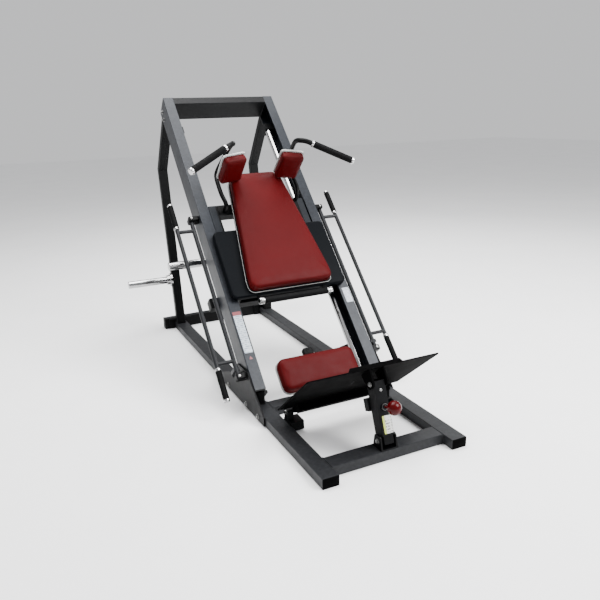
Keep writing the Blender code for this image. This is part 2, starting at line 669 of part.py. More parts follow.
# ----------------------------------------------------------------- footplate
plate = piece("footplate",
              prism(rounded_outline([(-FOOT_HALF, FOOT_U[0], 0.012), (FOOT_HALF, FOOT_U[0], 0.012),
                                     (FOOT_HALF, FOOT_U[1], 0.006), (-FOOT_HALF, FOOT_U[1], 0.006)], 2),
                    FOOT_V[0], FOOT_V[1], "Z"),
              "black", foot)
parts = [box(-0.254, 0.254, -0.085, -0.045, -0.0300, FOOT_V[0] + 0.001)]
for side, tag in SIDES:
    parts.append(prism([(-0.060, -0.028), (-0.006, -0.015), (0.013, -0.009), (0.015, 0.004), (0.006, 0.013),
                        (-0.032, 0.0085), (-0.060, 0.0085)], *mirrored(side, 0.2350, 0.2530), "X"))
    parts.append(cylinder((side * 0.2450, 0, 0), (side * 0.2960, 0, 0), 0.0080, 14))
# top pivot of the strut in the footplate's own frame
top_world = Vector((0, STRUT_AXIS[0] + STRUT_TOP_W * sin(-STRUT_LEAN) - 0.020 * cos(STRUT_LEAN) - FOOT_AXIS[0],
                    STRUT_AXIS[1] + STRUT_TOP_W * cos(STRUT_LEAN) - 0.020 * sin(STRUT_LEAN) - FOOT_AXIS[1]))
top_local = Matrix.Rotation(-FOOT_TILT, 3, "X") @ top_world
for side, tag in SIDES:
    tu, tv = top_local.y, top_local.z
    parts.append(prism([(tu - 0.036, FOOT_V[0] + 0.001), (tu - 0.030, tv - 0.004), (tu - 0.016, tv - 0.020),
                        (tu + 0.020, tv - 0.020), (tu + 0.036, tv + 0.000), (tu + 0.050, FOOT_V[0] + 0.001)],
                       *mirrored(side, 0.0315, 0.0395), "X"))
fuse(plate, parts)

lip = [(-0.140, 0.0), (0.140, 0.0), (0.128, 0.016), (-0.128, 0.016)]
piece("footplate_toe_lip", prism(lip, -0.0060, 0.0, "Y"), "black", foot,
      (0, FOOT_U[0] + 0.0070, FOOT_V[1] + GAP))

for side, tag in SIDES:
    x0, x1 = mirrored(side, 0.2150, RAIL_IN - GAP)
    br = piece("footplate_bracket_" + tag, box(x0, x1, 0.4830, 0.5600, 0.0100, 0.0580, 0.002), "black", datum)
    ear = rounded_outline([(0.506, 0.050, 0.0), (0.554, 0.050, 0.0), (0.554, 0.116, 0.018), (0.506, 0.116, 0.018)])
    fuse(br, [prism(ear, *mirrored(side, 0.2600, 0.2880), "X")])
    fuse(br, [cylinder((side * 0.2400, FOOT_AXIS[0], FOOT_AXIS[1]), (side * 0.3100, FOOT_AXIS[0], FOOT_AXIS[1]),
                       0.0080 + GAP * 2, 14)], "DIFFERENCE")

# --------------------------------------------------------------------- strut
ub = piece("strut_base_bracket", box(-0.0440, 0.0440, 0.0650, 0.1380, RAIL_H + GAP, 0.0560), "black", datum)
cheek = rounded_outline([(0.066, 0.052, 0.0), (0.137, 0.052, 0.0), (0.126, 0.114, 0.014), (0.080, 0.114, 0.014)])
fuse(ub, [prism(cheek, *mirrored(side, 0.0345, 0.0425), "X") for side in (-1, 1)])

w, d = STRUT_IN
inner = piece("strut_inner", rect_tube("Z", (-w / 2, w / 2), (-d / 2, d / 2), (-0.0180, 0.2300)), "black", strut)
fuse(inner, [cylinder((-0.0340, 0, 0), (0.0340, 0, 0), 0.0080, 14)])
# slot along which the locking pin travels
fuse(inner, [box(-0.0060, 0.0060, -d, 0.0, PIN_W - 0.0175, PIN_W + 0.0760)], "DIFFERENCE")

w, d = STRUT_OUT
front, back = -d / 2, d / 2
outer = piece("strut_outer", rect_tube("Z", (-w / 2, w / 2), (front, back), (0.0200, 0.2640)), "charcoal",
              strut_slide)
fuse(outer, [box(-0.040, 0.040, back - 0.0015, back + 0.034, 0.130, 0.186),
             cylinder((0, front + 0.001, PIN_W), (0, front - 0.014, PIN_W), 0.0130, 16)])
fuse(outer, [cylinder((0, front - 0.030, PIN_W), (0, front + 0.020, PIN_W), 0.0060, 12)], "DIFFERENCE")

R = 0.0325
profile = [(0.0, 0.0050), (0.0600, 0.0050), (0.0605, 0.0110), (0.0660, 0.0130)]
centre = 0.0660 + sqrt(R * R - 0.0130 ** 2)
for k in range(1, 10):
    a = pi - atan2(0.0130, sqrt(R * R - 0.0130 ** 2)) - k * (pi - atan2(0.0130, sqrt(R * R - 0.0130 ** 2))) / 10
    profile.append((centre + R * cos(a), R * sin(a)))
profile.append((centre + R * cos(radians(7)), R * sin(radians(7))))
piece("pull_knob", turned(profile, 20, (0, 0, 0), (0, -1, 0)), "red_ball", strut_slide,
      (0, front + 0.0080, PIN_W), smooth=True)

# ------------------------------------------------------------ safety handles
for side, tag in SIDES:
    e = safety[side]
    off = side * (SAFE_ROD_X - SAFE_X)
    rod = piece("safety_frame_" + tag,
                turned([(-0.0120, 0.0125), (-0.0100, 0.0155), (0.0020, 0.0155), (0.0023, 0.0105), (0.1572, 0.0105),
                        (0.1575, 0.0155), (0.1710, 0.0155), (0.1713, 0.0115), (1.0315, 0.0115), (1.0318, 0.0155),
                        (1.0450, 0.0155), (1.0453, 0.0105), (1.1932, 0.0105), (1.1935, 0.0155), (1.2030, 0.0155),
                        (1.2050, 0.0125)], 14, (off, 0, 0), (0, 1, 0)),
                "charcoal", e, smooth=True)
    fuse(rod, [cylinder((0, 1.0140, 0), (off, 1.0140, 0), 0.0105, 12),
               cylinder((0, 0.1950, 0), (off, 0.1950, 0), 0.0105, 12),
               cylinder((0, SAFE_S[0], 0), (0, SAFE_S[1], 0), 0.0125, 14)])
    # catch that swings in under the stop bar
    fuse(rod, [prism([(side * -0.0170, 0.0110), (side * 0.0160, 0.0110), (side * 0.0160, -0.0500),
                      (side * -0.0050, -0.1000), (side * -0.0290, -0.1000), (side * -0.0290, -0.0930),
                      (side * -0.0170, -0.0500)], 0.1380, 0.1560, "Y")], smooth=True)
    for name, s0, s1 in (("lower", 0.0026, 0.1570), ("upper", 1.0456, 1.1928)):
        piece("safety_grip_" + name + "_" + tag,
              sleeve((off, s0, 0), (off, s1, 0), 0.0165, 0.0105 + GAP, 14), "rubber", e, smooth=True)

bpy.context.view_layer.update()
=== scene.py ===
"""Looks for the plate-loaded hack squat / leg press sled: materials, upholstery,
fasteners, caps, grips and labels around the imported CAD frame."""
import bpy
import bmesh
import json
from math import radians, sin, cos, pi, sqrt, atan2
from mathutils import Vector, Matrix
from mathutils.bvhtree import BVHTree

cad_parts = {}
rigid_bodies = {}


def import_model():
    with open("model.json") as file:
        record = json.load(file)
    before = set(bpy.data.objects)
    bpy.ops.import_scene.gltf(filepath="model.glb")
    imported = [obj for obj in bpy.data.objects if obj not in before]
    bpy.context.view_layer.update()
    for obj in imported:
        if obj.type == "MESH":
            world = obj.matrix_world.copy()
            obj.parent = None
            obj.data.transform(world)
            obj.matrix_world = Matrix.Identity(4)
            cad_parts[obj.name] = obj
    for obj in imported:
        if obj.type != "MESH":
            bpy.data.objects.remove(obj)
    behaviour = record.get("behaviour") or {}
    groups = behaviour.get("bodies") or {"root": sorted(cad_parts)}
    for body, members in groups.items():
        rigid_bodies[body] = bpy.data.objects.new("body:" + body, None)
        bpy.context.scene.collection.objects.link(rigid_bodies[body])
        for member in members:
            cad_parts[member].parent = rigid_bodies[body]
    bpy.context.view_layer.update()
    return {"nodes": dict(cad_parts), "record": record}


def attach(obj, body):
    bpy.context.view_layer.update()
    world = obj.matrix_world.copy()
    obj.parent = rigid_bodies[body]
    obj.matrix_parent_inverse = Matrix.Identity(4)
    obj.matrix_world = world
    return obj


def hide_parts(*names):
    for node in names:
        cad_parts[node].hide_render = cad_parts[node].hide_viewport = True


for old in list(bpy.data.objects):
    bpy.data.objects.remove(old, do_unlink=True)

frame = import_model()
nodes = frame["nodes"]
scene = bpy.context.scene

# ------------------------------------------------------------ frames of reference
Y0 = -1.21625
INCLINE = radians(46.7)
DATUM = Matrix.Translation((0, Y0, 0))
SLOPE = Matrix.Translation((0, 0.729 + Y0, 0.1465)) @ Matrix.Rotation(INCLINE, 4, "X")
STRUT = Matrix.Translation((0, 0.100 + Y0, 0.085)) @ Matrix.Rotation(radians(-19.9), 4, "X")
FOOT = Matrix.Translation((0, 0.530 + Y0, 0.098)) @ Matrix.Rotation(radians(-39.35), 4, "X")
SAFE = {s: SLOPE @ Matrix.Translation((s * 0.413, 0, -0.050)) for s in (-1, 1)}
SIDES = ((-1, "left"), (1, "right"))


# ------------------------------------------------------------------- materials
class Nodes:
    """Small helper that builds a Principled material's node tree."""

    def __init__(self, name, colour, rough, metal):
        self.mat = bpy.data.materials.new(name)
        self.mat.use_nodes = True
        self.tree = self.mat.node_tree
        self.bsdf = self.tree.nodes["Principled BSDF"]
        self.bsdf.inputs["Base Color"].default_value = (*colour, 1)
        self.bsdf.inputs["Roughness"].default_value = rough
        self.bsdf.inputs["Metallic"].default_value = metal
        self.coord = self.tree.nodes.new("ShaderNodeTexCoord").outputs["Object"]
        self.height = None

    def link(self, a, b):
        self.tree.links.new(a, b)

    def mapped(self, scale=(1, 1, 1), rotation=(0, 0, 0)):
        n = self.tree.nodes.new("ShaderNodeMapping")
        n.inputs["Scale"].default_value = scale
        n.inputs["Rotation"].default_value = rotation
        self.link(self.coord, n.inputs["Vector"])
        return n.outputs["Vector"]

    def noise(self, scale, detail=3.0, rough=0.5, vector=None):
        n = self.tree.nodes.new("ShaderNodeTexNoise")
        n.inputs["Scale"].default_value = scale
        n.inputs["Detail"].default_value = detail
        n.inputs["Roughness"].default_value = rough
        self.link(vector if vector is not None else self.coord, n.inputs["Vector"])
        return n.outputs["Fac"]

    def voronoi(self, scale, feature="F1", vector=None):
        n = self.tree.nodes.new("ShaderNodeTexVoronoi")
        n.feature = feature
        n.inputs["Scale"].default_value = scale
        self.link(vector if vector is not None else self.coord, n.inputs["Vector"])
        return n.outputs["Distance"]

    def ramp(self, fac, stops):
        n = self.tree.nodes.new("ShaderNodeValToRGB")
        els = n.color_ramp.elements
        while len(els) > 1:
            els.remove(els[-1])
        els[0].position, els[0].color = stops[0][0], (*stops[0][1], 1)
        for p, c in stops[1:]:
            e = els.new(p)
            e.color = (*c, 1)
        self.link(fac, n.inputs["Fac"])
        return n.outputs["Color"]

    def range(self, fac, lo, hi, a=0.0, b=1.0):
        n = self.tree.nodes.new("ShaderNodeMapRange")
        n.inputs["From Min"].default_value = a
        n.inputs["From Max"].default_value = b
        n.inputs["To Min"].default_value = lo
        n.inputs["To Max"].default_value = hi
        self.link(fac, n.inputs["Value"])
        return n.outputs["Result"]

    def mix(self, fac, a, b, blend="MIX"):
        n = self.tree.nodes.new("ShaderNodeMix")
        n.data_type = "RGBA"
        n.blend_type = blend
        for value, index in ((a, 6), (b, 7)):
            if isinstance(value, tuple):
                n.inputs[index].default_value = (*value, 1)
            else:
                self.link(value, n.inputs[index])
        if isinstance(fac, float):
            n.inputs[0].default_value = fac
        else:
            self.link(fac, n.inputs[0])
        return n.outputs[2]

    def bump(self, fac, strength, distance):
        n = self.tree.nodes.new("ShaderNodeBump")
        n.inputs["Strength"].default_value = strength
        n.inputs["Distance"].default_value = distance
        self.link(fac, n.inputs["Height"])
        if self.height is not None:
            self.link(self.height, n.inputs["Normal"])
        self.height = n.outputs["Normal"]
        self.link(self.height, self.bsdf.inputs["Normal"])

    def colour(self, out):
        self.link(out, self.bsdf.inputs["Base Color"])

    def roughness(self, out):
        self.link(out, self.bsdf.inputs["Roughness"])

    def worn_edges(self, base, bare, amount=0.5):
        """Painted highlight: a lighter tone along sharp edges, broken up by noise."""
        geo = self.tree.nodes.new("ShaderNodeNewGeometry")
        edge = self.range(geo.outputs["Pointiness"], 0.0, amount, 0.52, 0.62)
        broken = self.range(self.noise(60, 4, 0.6), 0.0, 1.0, 0.42, 0.62)
        m = self.tree.nodes.new("ShaderNodeMath")
        m.operation = "MULTIPLY"
        self.link(edge, m.inputs[0])
        self.link(broken, m.inputs[1])
        return self.mix(m.outputs[0], base, bare)


def paint(name, dark, light, rough, metal, coat=0.0, spec=0.3, flake=0.25, peel=0.05):
    """Powder coat: fine metallic flake, faint orange peel, an uneven gloss and a painted highlight along sharp edges.
    """
    m = Nodes(name, dark, rough, metal)
    cloud = m.noise(2.2, 4, 0.55)
    base = m.mix(m.range(cloud, 0.0, 1.0, 0.25, 0.75), dark, light)
    speck = m.range(m.noise(1100, 2, 0.7), 0.0, flake, 0.60, 0.72)
    base = m.mix(speck, base, tuple(min(1.0, c * 1.7 + 0.001) for c in light))
    # painted highlight: the paint is lightened along sharp edges
    m.colour(m.worn_edges(base, tuple(min(1.0, c * 1.9 + 0.002) for c in light), 0.30))
    m.roughness(m.range(m.noise(17, 4, 0.55), rough - 0.03, rough + 0.04, 0.3, 0.7))
    m.bump(m.noise(520, 2, 0.5), peel, 0.0003)
    m.bsdf.inputs["Specular IOR Level"].default_value = spec
    m.bsdf.inputs["Coat Weight"].default_value = coat
    m.bsdf.inputs["Coat Roughness"].default_value = 0.16
    return m.mat


M = {}
M["frame_grey"] = paint("frame_grey_powder", (0.0105, 0.0110, 0.0122), (0.0140, 0.0145, 0.0160), 0.46, 0.10, 0.02,
                        0.12, 0.14)
M["frame_dark"] = paint("frame_dark_powder", (0.0030, 0.0031, 0.0035), (0.0044, 0.0045, 0.0050), 0.44, 0.10, 0.02,
                        0.08, 0.14)
M["upright_grey"] = paint("upright_grey_powder", (0.0100, 0.0117, 0.0148), (0.0128, 0.0147, 0.0184), 0.40, 0.18, 0.05,
                          0.16, 0.16)
M["housing_grey"] = paint("housing_grey_powder", (0.0070, 0.0084, 0.0108), (0.0095, 0.0112, 0.0140), 0.42, 0.10, 0.03,
                          0.12, 0.12)
M["satin_black"] = paint("satin_black_powder", (0.0007, 0.0008, 0.0010), (0.0012, 0.0013, 0.0015), 0.46, 0.0, 0.015,
                         0.08, 0.05)
M["plate_black"] = paint("plate_black_powder", (0.0005, 0.0005, 0.0006), (0.0009, 0.0009, 0.0010), 0.74, 0.0, 0.0,
                         0.02, 0.03, 0.03)
M["panel_black"] = paint("panel_blue_black", (0.0010, 0.0015, 0.0023), (0.0015, 0.0021, 0.0031), 0.50, 0.0, 0.0, 0.04,
                         0.04)


def chrome(name, tint=(0.50, 0.50, 0.50), rough=0.10):
    m = Nodes(name, tint, rough, 1.0)
    haze = m.noise(14, 5, 0.65)
    m.colour(m.mix(m.range(haze, 0.0, 0.45, 0.45, 0.75), tint, tuple(c * 0.72 for c in tint)))
    fine = m.noise(90, 3, 0.5, m.mapped((1, 1, 14)))
    m.roughness(m.range(fine, rough - 0.03, rough + 0.09, 0.35, 0.75))
    m.bump(m.noise(260, 2, 0.5), 0.035, 0.0002)
    return m.mat


M["chrome"] = chrome("polished_chrome")
M["zinc"] = chrome("zinc_plated", (0.30, 0.30, 0.295), 0.26)


def board():
    m = Nodes("pad_board_silver", (0.60, 0.60, 0.585), 0.34, 0.0)
    m.colour(m.mix(m.range(m.noise(9, 4, 0.6), 0.0, 1.0, 0.3, 0.75), (0.42, 0.42, 0.41), (0.34, 0.34, 0.335)))
    m.roughness(m.range(m.noise(55, 3, 0.5), 0.28, 0.44, 0.3, 0.7))
    m.bump(m.noise(600, 2, 0.5), 0.10, 0.0002)
    m.bsdf.inputs["Coat Weight"].default_value = 0.2
    return m.mat


M["pad_board"] = board()


def vinyl(name, dark, light):
    """Upholstery vinyl: pebbled leather grain over a soft, slightly cloudy red, with painted shade in the grain
    creases.
    """
    m = Nodes(name, light, 0.50, 0.0)
    cloud = m.noise(3.2, 4, 0.55)
    base = m.mix(m.range(cloud, 0.0, 1.0, 0.30, 0.72), dark, light)
    grain = m.voronoi(620, "DISTANCE_TO_EDGE")
    # painted shade: the grain's creases are darkened
    grain_crease_shade = m.range(grain, 0.45, 0.0, 0.0, 0.10)
    m.colour(m.mix(grain_crease_shade, base, tuple(c * 0.55 for c in dark)))
    m.roughness(m.range(m.noise(26, 5, 0.6), 0.44, 0.56, 0.3, 0.7))
    m.bump(m.noise(16, 4, 0.55), 0.08, 0.0030)
    m.bump(m.range(grain, 0.0, 1.0, 0.0, 0.16), 0.16, 0.0005)
    m.bsdf.inputs["Specular IOR Level"].default_value = 0.07
    return m.mat


M["vinyl"] = vinyl("red_vinyl", (0.047, 0.00030, 0.0009), (0.060, 0.00040, 0.0011))
M["welt"] = vinyl("red_vinyl_seam", (0.023, 0.0002, 0.0005), (0.030, 0.0003, 0.0006))


def rubber(name, dark, light, rough):
    m = Nodes(name, dark, rough, 0.0)
    m.colour(m.mix(m.range(m.noise(24, 5, 0.6), 0.0, 1.0, 0.3, 0.75), dark, light))
    m.roughness(m.range(m.noise(70, 3, 0.5), rough - 0.08, rough + 0.10, 0.3, 0.7))
    m.bump(m.noise(900, 2, 0.6), 0.22, 0.0004)
    m.bump(m.noise(240, 3, 0.6), 0.10, 0.0005)
    m.bsdf.inputs["Specular IOR Level"].default_value = 0.07
    return m.mat


M["rubber"] = rubber("black_foam_rubber", (0.0014, 0.0014, 0.0016), (0.0030, 0.0030, 0.0033), 0.66)
M["plastic"] = rubber("black_moulded_plastic", (0.0006, 0.0006, 0.0007), (0.0012, 0.0012, 0.0014), 0.50)


def knob_red():
    m = Nodes("red_gloss_plastic", (0.12, 0.003, 0.005), 0.26, 0.0)
    m.colour(m.mix(m.range(m.noise(30, 4, 0.6), 0.0, 1.0, 0.3, 0.75), (0.036, 0.0003, 0.0008), (0.050, 0.0004, 0.0010)))
    m.roughness(m.range(m.noise(80, 3, 0.5), 0.16, 0.28, 0.3, 0.7))
    m.bump(m.noise(120, 2, 0.5), 0.05, 0.0004)
    m.bsdf.inputs["Specular IOR Level"].default_value = 0.10
    m.bsdf.inputs["Coat Weight"].default_value = 0.04
    m.bsdf.inputs["Coat Roughness"].default_value = 0.06
    return m.mat


M["red_knob"] = knob_red()


def sticker(name, ground, ink, rows, matrix, axis_scale):
    """Blank generic decal: soft bars in place of any lettering. matrix maps row to decal axes."""
    m = Nodes(name, ground, 0.30, 0.0)
    inv = matrix.inverted()
    mp = m.tree.nodes.new("ShaderNodeMapping")
    mp.inputs["Rotation"].default_value = inv.to_euler()
    mp.inputs["Location"].default_value = inv.to_translation()
    m.link(m.coord, mp.inputs["Vector"])
    sep = m.tree.nodes.new("ShaderNodeSeparateXYZ")
    m.link(mp.outputs["Vector"], sep.inputs["Vector"])
    w = m.tree.nodes.new("ShaderNodeMath")
    w.operation = "MULTIPLY"
    w.inputs[1].default_value = rows
    m.link(sep.outputs[axis_scale], w.inputs[0])
    fr = m.tree.nodes.new("ShaderNodeMath")
    fr.operation = "FRACT"
    m.link(w.outputs[0], fr.inputs[0])
    bar = m.range(fr.outputs[0], 0.0, 1.0, 0.44, 0.50)
    broken = m.range(m.noise(85, 2, 0.6), 0.0, 0.75, 0.46, 0.52)
    mul = m.tree.nodes.new("ShaderNodeMath")
    mul.operation = "MULTIPLY"
    m.link(bar, mul.inputs[0])
    m.link(broken, mul.inputs[1])
    m.colour(m.mix(mul.outputs[0], ground, ink))
    m.roughness(m.range(m.noise(40, 3, 0.5), 0.24, 0.38, 0.3, 0.7))
    m.bsdf.inputs["Coat Weight"].default_value = 0.1
    return m.mat


def tinted(name, colour, rough=0.34):
    m = Nodes(name, colour, rough, 0.0)
    m.colour(m.mix(m.range(m.noise(45, 4, 0.6), 0.0, 1.0, 0.3, 0.75), tuple(c * 0.9 for c in colour), colour))
    m.roughness(m.range(m.noise(60, 3, 0.5), rough - 0.06, rough + 0.06, 0.3, 0.7))
    return m.mat


# ------------------------------------------------------- CAD nodes that stay shown
SLOT_OF = {s["node"]: s["material_slot"] for s in frame["record"]["subparts"]}
SLOT_MAT = {"frame_grey": "frame_grey", "upright_grey": "upright_grey", "housing_grey": "housing_grey",
            "satin_black": "satin_black", "chrome": "chrome", "pad_board": "pad_board", "vinyl": "vinyl",
            "rubber_grip": "rubber", "red_knob": "red_knob"}
ROUND = ("guide_rod", "weight_horn", "storage_peg", "handle_tube", "pull_knob", "safety_frame", "safety_grip",
         "handle_grip", "grip_bar")
BEVEL = {"gusset_plate": 0.0015, "footplate": 0.0012, "footplate_bracket": 0.0020, "strut_base_bracket": 0.0012,
         "carriage_side_plate": 0.0015, "bearing_housing": 0.0030, "upright_foot": 0.0015, "seat_base": 0.0020,
         "back_board": 0.0025, "shoulder_board": 0.0020, "footplate_toe_lip": 0.0015, "rear_crossbeam": 0.0010}
for name, ob in nodes.items():
    ob.data.materials.clear()
    kind = SLOT_MAT[SLOT_OF[name]]
    if name.startswith(("top_crossbeam", "gusset_plate")):
        kind = "frame_dark"
    if name == "strut_outer":
        kind = "frame_dark"
    if name.startswith("footplate") and "bracket" not in name:
        kind = "plate_black"
    if name == "back_board":
        kind = "plastic"
    ob.data.materials.append(M[kind])
    kept = ob.data.attributes.get("custom_normal")
    if kept is not None:
        ob.data.attributes.remove(kept)
    ob.data.shade_smooth()
    base = name.replace("_left", "").replace("_right", "")
    weld = ob.modifiers.new("weld", "WELD")
    weld.merge_threshold = 0.00002
    if base in BEVEL:
        flat = ob.modifiers.new("planar", "DECIMATE")
        flat.decimate_type = "DISSOLVE"
        flat.angle_limit = radians(0.6)
        bev = ob.modifiers.new("bevel", "BEVEL")
        bev.width = BEVEL[base]
        bev.segments = 2
        bev.limit_method = "ANGLE"
        bev.angle_limit = radians(32)
        bev.use_clamp_overlap = True
    split = ob.modifiers.new("split", "EDGE_SPLIT")
    split.split_angle = radians(40)
    if not base.startswith(ROUND):
        wn = ob.modifiers.new("normals", "WEIGHTED_NORMAL")
        wn.keep_sharp = True
        wn.weight = 80


# -------------------------------------------------------------- geometry helpers
def rounded_outline(corners, steps=3):
    out = []
    n = len(corners)
    for i, (x, y, r) in enumerate(corners):
        p = Vector((x, y))
        a = (Vector(corners[i - 1][:2]) - p).normalized()
        b = (Vector(corners[(i + 1) % n][:2]) - p).normalized()
        if r <= 0:
            out.append((p.x, p.y))
            continue
        half = a.angle(b) / 2
        reach = r / max(1e-6, (sin(half) / cos(half)))
        c = p + (a + b).normalized() * (r / sin(half))
        s = p + a * reach - c
        e = p + b * reach - c
        total = s.angle_signed(e)
        for k in range(steps + 1):
            v = s.copy()
            v.rotate(Matrix.Rotation(-total * k / steps, 2))
            out.append((c.x + v.x, c.y + v.y))
    return out


def inset(corners, d):
    """Counter-clockwise corners (x, y, r) moved inwards by d."""
    n = len(corners)
    out = []
    for i, (x, y, r) in enumerate(corners):
        p = Vector((x, y))
        a = (p - Vector(corners[i - 1][:2])).normalized()
        b = (Vector(corners[(i + 1) % n][:2]) - p).normalized()
        na, nb = Vector((-a.y, a.x)), Vector((-b.y, b.x))
        m = (na + nb)
        q = p + m * (d / max(1e-6, m.dot(na)))
        out.append((q.x, q.y, max(r - d, 0.0008)))
    return out


def loft(rings, close=True):
    """Closed solid from stacked rings of points."""
    bm = bmesh.new()
    vs = [[bm.verts.new(p) for p in ring] for ring in rings]
    n = len(vs[0])
    for a, b in zip(vs, vs[1:]):
        for k in range(n):
            bm.faces.new((a[k], a[(k + 1) % n], b[(k + 1) % n], b[k]))
    if close:
        bm.faces.new(vs[0][::-1])
        bm.faces.new(vs[-1])
    return bm


def slab(corners, z0, z1, edge, steps=3, arc=4, both=True):
    """Plate with rounded outline and rounded upper (and lower) edges."""
    rings = []
    if both:
        for k in range(arc + 1):
            a = pi / 2 * (1 - k / arc)
            d, z = edge * (1 - cos(a)), z0 + edge * (1 - sin(a))
            rings.append([(x, y, z) for x, y in rounded_outline(inset(corners, d), steps)])
    else:
        rings.append([(x, y, z0) for x, y in rounded_outline(corners, steps)])
    for k in range(arc + 1):
        a = pi / 2 * k / arc
        d, z = edge * (1 - cos(a)), z1 - edge * (1 - sin(a))
        rings.append([(x, y, z) for x, y in rounded_outline(inset(corners, d), steps)])
    return loft(rings)


def frame_of(direction):
    d = Vector(direction).normalized()
    ref = Vector((0, 0, 1)) if abs(d.z) < 0.9 else Vector((1, 0, 0))
    u = d.cross(ref).normalized()
    return d, u, d.cross(u)


def lathe(profile, p0, direction, seg=32, closed=False):
    """Turn (distance, radius) points about an axis; closed joins the last ring to the first."""
    bm = bmesh.new()
    d, u, w = frame_of(direction)
    o = Vector(p0)
    rings = [[bm.verts.new(o + d * t + (u * cos(2 * pi * k / seg) + w * sin(2 * pi * k / seg)) * r)
              for k in range(seg)] for t, r in profile]
    pairs = list(zip(rings, rings[1:]))
    if closed:
        pairs.append((rings[-1], rings[0]))
    for a, b in pairs:
        for k in range(seg):
            bm.faces.new((a[k], a[(k + 1) % seg], b[(k + 1) % seg], b[k]))
    if not closed:
        bm.faces.new(rings[0][::-1])
        bm.faces.new(rings[-1])
    return bm


def rope(points, radii, seg=8, closed=False):
    """Round bar along points; closed joins its ends."""
    bm = bmesh.new()
    pts = [Vector(p) for p in points]
    n = len(pts)
    tans = []
    for i in range(n):
        a = pts[i - 1] if (i or closed) else pts[0]
        b = pts[(i + 1) % n] if (i < n - 1 or closed) else pts[-1]
        tans.append((b - a).normalized())
    u = tans[0].orthogonal().normalized()
    rings = []
    for i, p in enumerate(pts):
        u = (u - tans[i] * u.dot(tans[i])).normalized()
        w = tans[i].cross(u)
        r = radii[i] if isinstance(radii, list) else radii
        rings.append([bm.verts.new(p + (u * cos(2 * pi * k / seg) + w * sin(2 * pi * k / seg)) * r)
                      for k in range(seg)])
    pairs = list(zip(rings, rings[1:]))
    if closed:
        pairs.append((rings[-1], rings[0]))
    for a, b in pairs:
        for k in range(seg):
            bm.faces.new((a[k], a[(k + 1) % seg], b[(k + 1) % seg], b[k]))
    if not closed:
        bm.faces.new(rings[0][::-1])
        bm.faces.new(rings[-1])
    return bm


def join(bms):
    out = bmesh.new()
    for bm in bms:
        me = bpy.data.meshes.new("t")
        bm.to_mesh(me)
        bm.free()
        out.from_mesh(me)
        bpy.data.meshes.remove(me)
    return out


def put(name, bm, matrix, mat, body, replaces=(), smooth=36):
    bmesh.ops.recalc_face_normals(bm, faces=bm.faces[:])
    me = bpy.data.meshes.new(name)
    bm.to_mesh(me)
    bm.free()
    me.transform(matrix)
    if matrix.determinant() < 0:
        me.flip_normals()
    ob = bpy.data.objects.new(name, me)
    scene.collection.objects.link(ob)
    me.materials.append(mat)
    me.shade_smooth()
    me.set_sharp_from_angle(angle=radians(smooth))
    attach(ob, body)
    if replaces:
        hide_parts(*replaces)
    return ob


# ------------------------------------------------------------------- upholstery
def simulate(ob, cap, frames=20, pressure=4.0):
    """Cloth pressure puffs the pad; the underside stays pinned to its board."""
    me = ob.data
    rest = [v.co.copy() for v in me.vertices]
    z0 = min(v.z for v in rest)
    pin = ob.vertex_groups.new(name="pin")
    pin.add([i for i, v in enumerate(rest) if v.z < z0 + 0.004], 1.0, "REPLACE")
    cloth = ob.modifiers.new("cloth", "CLOTH")
    s = cloth.settings
    s.quality = 6
    s.mass = 0.35
    s.tension_stiffness = 22
    s.compression_stiffness = 22
    s.shear_stiffness = 12
    s.bending_stiffness = 1.2
    s.use_pressure = True
    s.uniform_pressure_force = pressure
    s.vertex_group_mass = "pin"
    s.effector_weights.gravity = 0
    cloth.collision_settings.use_collision = False
    cloth.point_cache.frame_start, cloth.point_cache.frame_end = 1, frames
    for f in range(1, frames + 1):
        scene.frame_set(f)
    deps = bpy.context.evaluated_depsgraph_get()
    ev = ob.evaluated_get(deps)
    moved = [v.co.copy() for v in ev.data.vertices]
    ob.modifiers.remove(cloth)
    scene.frame_set(1)
    for v, a, b in zip(me.vertices, rest, moved):
        d = b - a
        if d.length > cap:
            d = d * (cap / d.length)
        v.co = a + d
    ob.vertex_groups.clear()


def apply_mods(ob):
    deps = bpy.context.evaluated_depsgraph_get()
    new = bpy.data.meshes.new_from_object(ob.evaluated_get(deps))
    old = ob.data
    ob.modifiers.clear()
    ob.data = new
    bpy.data.meshes.remove(old)


def relax(ob, times, pinned_below=None, factor=0.5):
    bm = bmesh.new()
    bm.from_mesh(ob.data)
    verts = [v for v in bm.verts if pinned_below is None or v.co.z > pinned_below]
    for _ in range(times):
        bmesh.ops.smooth_vert(bm, verts=verts, factor=factor, use_axis_x=True, use_axis_y=True, use_axis_z=True)
    bm.to_mesh(ob.data)
    bm.free()


